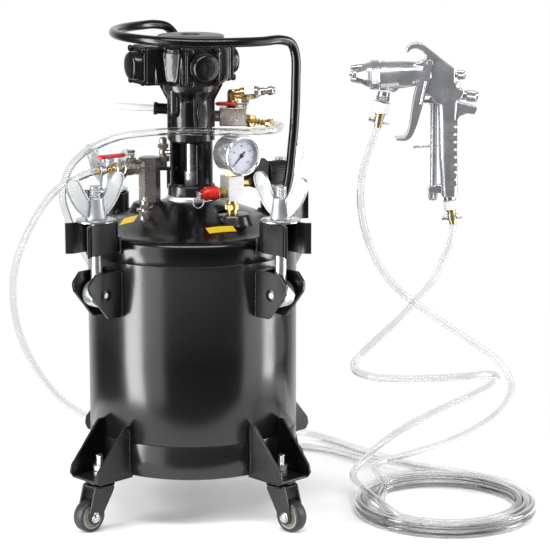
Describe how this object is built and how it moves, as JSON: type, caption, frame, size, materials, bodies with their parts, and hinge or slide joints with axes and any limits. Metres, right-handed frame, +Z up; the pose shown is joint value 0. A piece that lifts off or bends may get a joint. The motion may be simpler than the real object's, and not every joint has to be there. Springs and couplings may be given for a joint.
{
  "type": "pressure feed tank",
  "caption": "Clamped-lid pressure pot on casters with an air agitator, gauge, regulator, hoses and a spray gun.",
  "frame": {"origin": "centre of the pot and gun's bounding box on the floor, hoses left out", "axes": "+Z up, -Y towards the front with the gauge, +X from the pot towards the spray gun"},
  "size_m": [0.643, 0.4533, 0.58],
  "materials": {
    "black_paint": "semi-gloss black enamel",
    "black_cast": "glossy black paint over casting",
    "black_plastic": "moulded, lightly textured",
    "zinc": "bright zinc plate",
    "nickel": "satin nickel plate",
    "aluminium": "satin machined",
    "polished_aluminium": "polished casting",
    "brass": "machined",
    "chrome": "bright",
    "red_enamel": "dipped gloss",
    "tread_rubber": "moulded",
    "gasket_rubber": "matt",
    "clear_vinyl": "clear, smooth"
  },
  "bodies": {
    "pot": {"tank_shell": "black_paint", "base_skirt": "black_paint", "lid": "black_paint", "lid_gasket": "gasket_rubber", "leg_front_left": "black_paint", "ear_bracket_front_left": "black_paint", "leg_front_right": "black_paint", "ear_bracket_front_right": "black_paint", "leg_rear_left": "black_paint", "ear_bracket_rear_left": "black_paint", "leg_rear_right": "black_paint", "ear_bracket_rear_right": "black_paint", "agitator_column": "black_cast", "air_motor": "black_cast", "handle": "black_paint", "gauge_case": "chrome", "manifold_block": "aluminium", "safety_valve_body": "red_enamel", "regulator_body": "black_plastic", "air_valve_body": "nickel", "air_inlet_plug": "brass", "outlet_riser": "nickel", "outlet_valve_body": "nickel", "gun_body": "polished_aluminium", "fluid_hose_pot": "clear_vinyl", "air_hose_pot": "clear_vinyl", "fluid_hose_gun": "clear_vinyl", "air_hose_gun": "clear_vinyl", "hose_coil": "clear_vinyl"},
    "agitator": {"agitator_shaft": "zinc"},
    "needle": {"gauge_needle": "black_plastic"},
    "safety_pull": {"safety_valve_pull": "zinc"},
    "pressure_knob": {"regulator_knob": "black_plastic"},
    "air_lever": {"air_valve_lever": "red_enamel"},
    "outlet_lever": {"outlet_valve_lever": "red_enamel"},
    "trigger": {"gun_trigger": "polished_aluminium"},
    "air_cap": {"gun_air_cap": "polished_aluminium"},
    "fluid_knob": {"gun_fluid_knob": "polished_aluminium"},
    "pattern_knob": {"gun_pattern_knob": "polished_aluminium"},
    "air_knob": {"gun_air_knob": "polished_aluminium"},
    "swing_front_left": {"swing_bolt_front_left": "zinc"},
    "clamp_washer_front_left": {"washer_front_left": "zinc"},
    "nut_front_left": {"wing_nut_front_left": "zinc"},
    "caster_front_left": {"caster_fork_front_left": "black_paint"},
    "wheel_front_left": {"caster_wheel_front_left": "tread_rubber"},
    "swing_front_right": {"swing_bolt_front_right": "zinc"},
    "clamp_washer_front_right": {"washer_front_right": "zinc"},
    "nut_front_right": {"wing_nut_front_right": "zinc"},
    "caster_front_right": {"caster_fork_front_right": "black_paint"},
    "wheel_front_right": {"caster_wheel_front_right": "tread_rubber"},
    "swing_rear_left": {"swing_bolt_rear_left": "zinc"},
    "clamp_washer_rear_left": {"washer_rear_left": "zinc"},
    "nut_rear_left": {"wing_nut_rear_left": "zinc"},
    "caster_rear_left": {"caster_fork_rear_left": "black_paint"},
    "wheel_rear_left": {"caster_wheel_rear_left": "tread_rubber"},
    "swing_rear_right": {"swing_bolt_rear_right": "zinc"},
    "clamp_washer_rear_right": {"washer_rear_right": "zinc"},
    "nut_rear_right": {"wing_nut_rear_right": "zinc"},
    "caster_rear_right": {"caster_fork_rear_right": "black_paint"},
    "wheel_rear_right": {"caster_wheel_rear_right": "tread_rubber"}
  },
  "joints": [
    {"name": "swing_front_left", "type": "hinge", "parent": "pot", "child": "swing_front_left", "pos_m": [-0.20545, -0.10607, 0.283], "axis": [0.7071, -0.7071, 0], "range_deg": [0, 75]},
    {"name": "nut_lift_front_left", "type": "slide", "parent": "swing_front_left", "child": "clamp_washer_front_left", "axis": [0, 0, 1], "range_m": [0, 0.029]},
    {"name": "nut_turn_front_left", "type": "hinge", "parent": "clamp_washer_front_left", "child": "nut_front_left", "pos_m": [-0.20545, -0.10607, 0.373], "axis": [0, 0, 1], "continuous": true},
    {"name": "caster_swivel_front_left", "type": "hinge", "parent": "pot", "child": "caster_front_left", "pos_m": [-0.20615, -0.10677, 0.056], "axis": [0, 0, 1], "continuous": true},
    {"name": "wheel_roll_front_left", "type": "hinge", "parent": "caster_front_left", "child": "wheel_front_left", "pos_m": [-0.21817, -0.11879, 0.019], "axis": [0.7071, -0.7071, 0], "continuous": true},
    {"name": "swing_front_right", "type": "hinge", "parent": "pot", "child": "swing_front_right", "pos_m": [0.00669, -0.10607, 0.283], "axis": [0.7071, 0.7071, 0], "range_deg": [0, 75]},
    {"name": "nut_lift_front_right", "type": "slide", "parent": "swing_front_right", "child": "clamp_washer_front_right", "axis": [0, 0, 1], "range_m": [0, 0.029]},
    {"name": "nut_turn_front_right", "type": "hinge", "parent": "clamp_washer_front_right", "child": "nut_front_right", "pos_m": [0.00669, -0.10607, 0.373], "axis": [0, 0, 1], "continuous": true},
    {"name": "caster_swivel_front_right", "type": "hinge", "parent": "pot", "child": "caster_front_right", "pos_m": [0.00739, -0.10677, 0.056], "axis": [0, 0, 1], "continuous": true},
    {"name": "wheel_roll_front_right", "type": "hinge", "parent": "caster_front_right", "child": "wheel_front_right", "pos_m": [0.01941, -0.11879, 0.019], "axis": [0.7071, 0.7071, 0], "continuous": true},
    {"name": "swing_rear_left", "type": "hinge", "parent": "pot", "child": "swing_rear_left", "pos_m": [-0.20545, 0.10607, 0.283], "axis": [-0.7071, -0.7071, 0], "range_deg": [0, 75]},
    {"name": "nut_lift_rear_left", "type": "slide", "parent": "swing_rear_left", "child": "clamp_washer_rear_left", "axis": [0, 0, 1], "range_m": [0, 0.029]},
    {"name": "nut_turn_rear_left", "type": "hinge", "parent": "clamp_washer_rear_left", "child": "nut_rear_left", "pos_m": [-0.20545, 0.10607, 0.373], "axis": [0, 0, 1], "continuous": true},
    {"name": "caster_swivel_rear_left", "type": "hinge", "parent": "pot", "child": "caster_rear_left", "pos_m": [-0.20615, 0.10677, 0.056], "axis": [0, 0, 1], "continuous": true},
    {"name": "wheel_roll_rear_left", "type": "hinge", "parent": "caster_rear_left", "child": "wheel_rear_left", "pos_m": [-0.21817, 0.11879, 0.019], "axis": [-0.7071, -0.7071, 0], "continuous": true},
    {"name": "swing_rear_right", "type": "hinge", "parent": "pot", "child": "swing_rear_right", "pos_m": [0.00669, 0.10607, 0.283], "axis": [-0.7071, 0.7071, 0], "range_deg": [0, 75]},
    {"name": "nut_lift_rear_right", "type": "slide", "parent": "swing_rear_right", "child": "clamp_washer_rear_right", "axis": [0, 0, 1], "range_m": [0, 0.029]},
    {"name": "nut_turn_rear_right", "type": "hinge", "parent": "clamp_washer_rear_right", "child": "nut_rear_right", "pos_m": [0.00669, 0.10607, 0.373], "axis": [0, 0, 1], "continuous": true},
    {"name": "caster_swivel_rear_right", "type": "hinge", "parent": "pot", "child": "caster_rear_right", "pos_m": [0.00739, 0.10677, 0.056], "axis": [0, 0, 1], "continuous": true},
    {"name": "wheel_roll_rear_right", "type": "hinge", "parent": "caster_rear_right", "child": "wheel_rear_right", "pos_m": [0.01941, 0.11879, 0.019], "axis": [-0.7071, 0.7071, 0], "continuous": true},
    {"name": "agitator_spin", "type": "hinge", "parent": "pot", "child": "agitator", "pos_m": [-0.09938, 0, 0.4], "axis": [0, 0, 1], "continuous": true},
    {"name": "needle_turn", "type": "hinge", "parent": "pot", "child": "needle", "pos_m": [-0.05038, -0.045, 0.437], "axis": [-0.5592, 0.829, 0], "range_deg": [0, 270]},
    {"name": "safety_pull", "type": "slide", "parent": "pot", "child": "safety_pull", "axis": [-0.8572, -0.515, 0], "range_m": [0, 0.003], "stiffness_N_per_m": 800},
    {"name": "pressure_knob_turn", "type": "hinge", "parent": "pot", "child": "pressure_knob", "pos_m": [-0.01181, -0.02182, 0.4095], "axis": [0.8572, 0.515, 0], "range_deg": [-720, 720]},
    {"name": "air_lever_turn", "type": "hinge", "parent": "pot", "child": "air_lever", "pos_m": [-0.03538, 0.014, 0.486], "axis": [0, 0, 1], "range_deg": [0, 90]},
    {"name": "outlet_lever_turn", "type": "hinge", "parent": "pot", "child": "outlet_lever", "pos_m": [-0.16998, -0.0149, 0.43], "axis": [0, 0, 1], "range_deg": [0, 90]},
    {"name": "trigger_pull", "type": "hinge", "parent": "pot", "child": "trigger", "pos_m": [0.18162, 0, 0.5405], "axis": [0, -1, 0], "range_deg": [0, 8], "stiffness_Nm_per_rad": 1.5, "springref_deg": -11.46},
    {"name": "air_cap_turn", "type": "hinge", "parent": "pot", "child": "air_cap", "pos_m": [0.12062, 0, 0.5235], "axis": [-1, 0, 0], "continuous": true},
    {"name": "fluid_knob_turn", "type": "hinge", "parent": "pot", "child": "fluid_knob", "pos_m": [0.22622, 0, 0.499], "axis": [0.9926, 0, -0.1211], "range_deg": [-720, 720]},
    {"name": "pattern_knob_turn", "type": "hinge", "parent": "pot", "child": "pattern_knob", "pos_m": [0.21252, 0, 0.5235], "axis": [1, 0, 0], "range_deg": [-360, 360]},
    {"name": "air_knob_turn", "type": "hinge", "parent": "pot", "child": "air_knob", "pos_m": [0.18812, 0, 0.383], "axis": [0.021, 0, -0.9998], "range_deg": [-360, 360]}
  ],
  "couplings": [
    {"joint": "nut_lift_front_left", "follows": "swing_front_left", "m_per_rad": 0.0218},
    {"joint": "nut_lift_front_right", "follows": "swing_front_right", "m_per_rad": 0.0218},
    {"joint": "nut_lift_rear_left", "follows": "swing_rear_left", "m_per_rad": 0.0218},
    {"joint": "nut_lift_rear_right", "follows": "swing_rear_right", "m_per_rad": 0.0218}
  ]
}
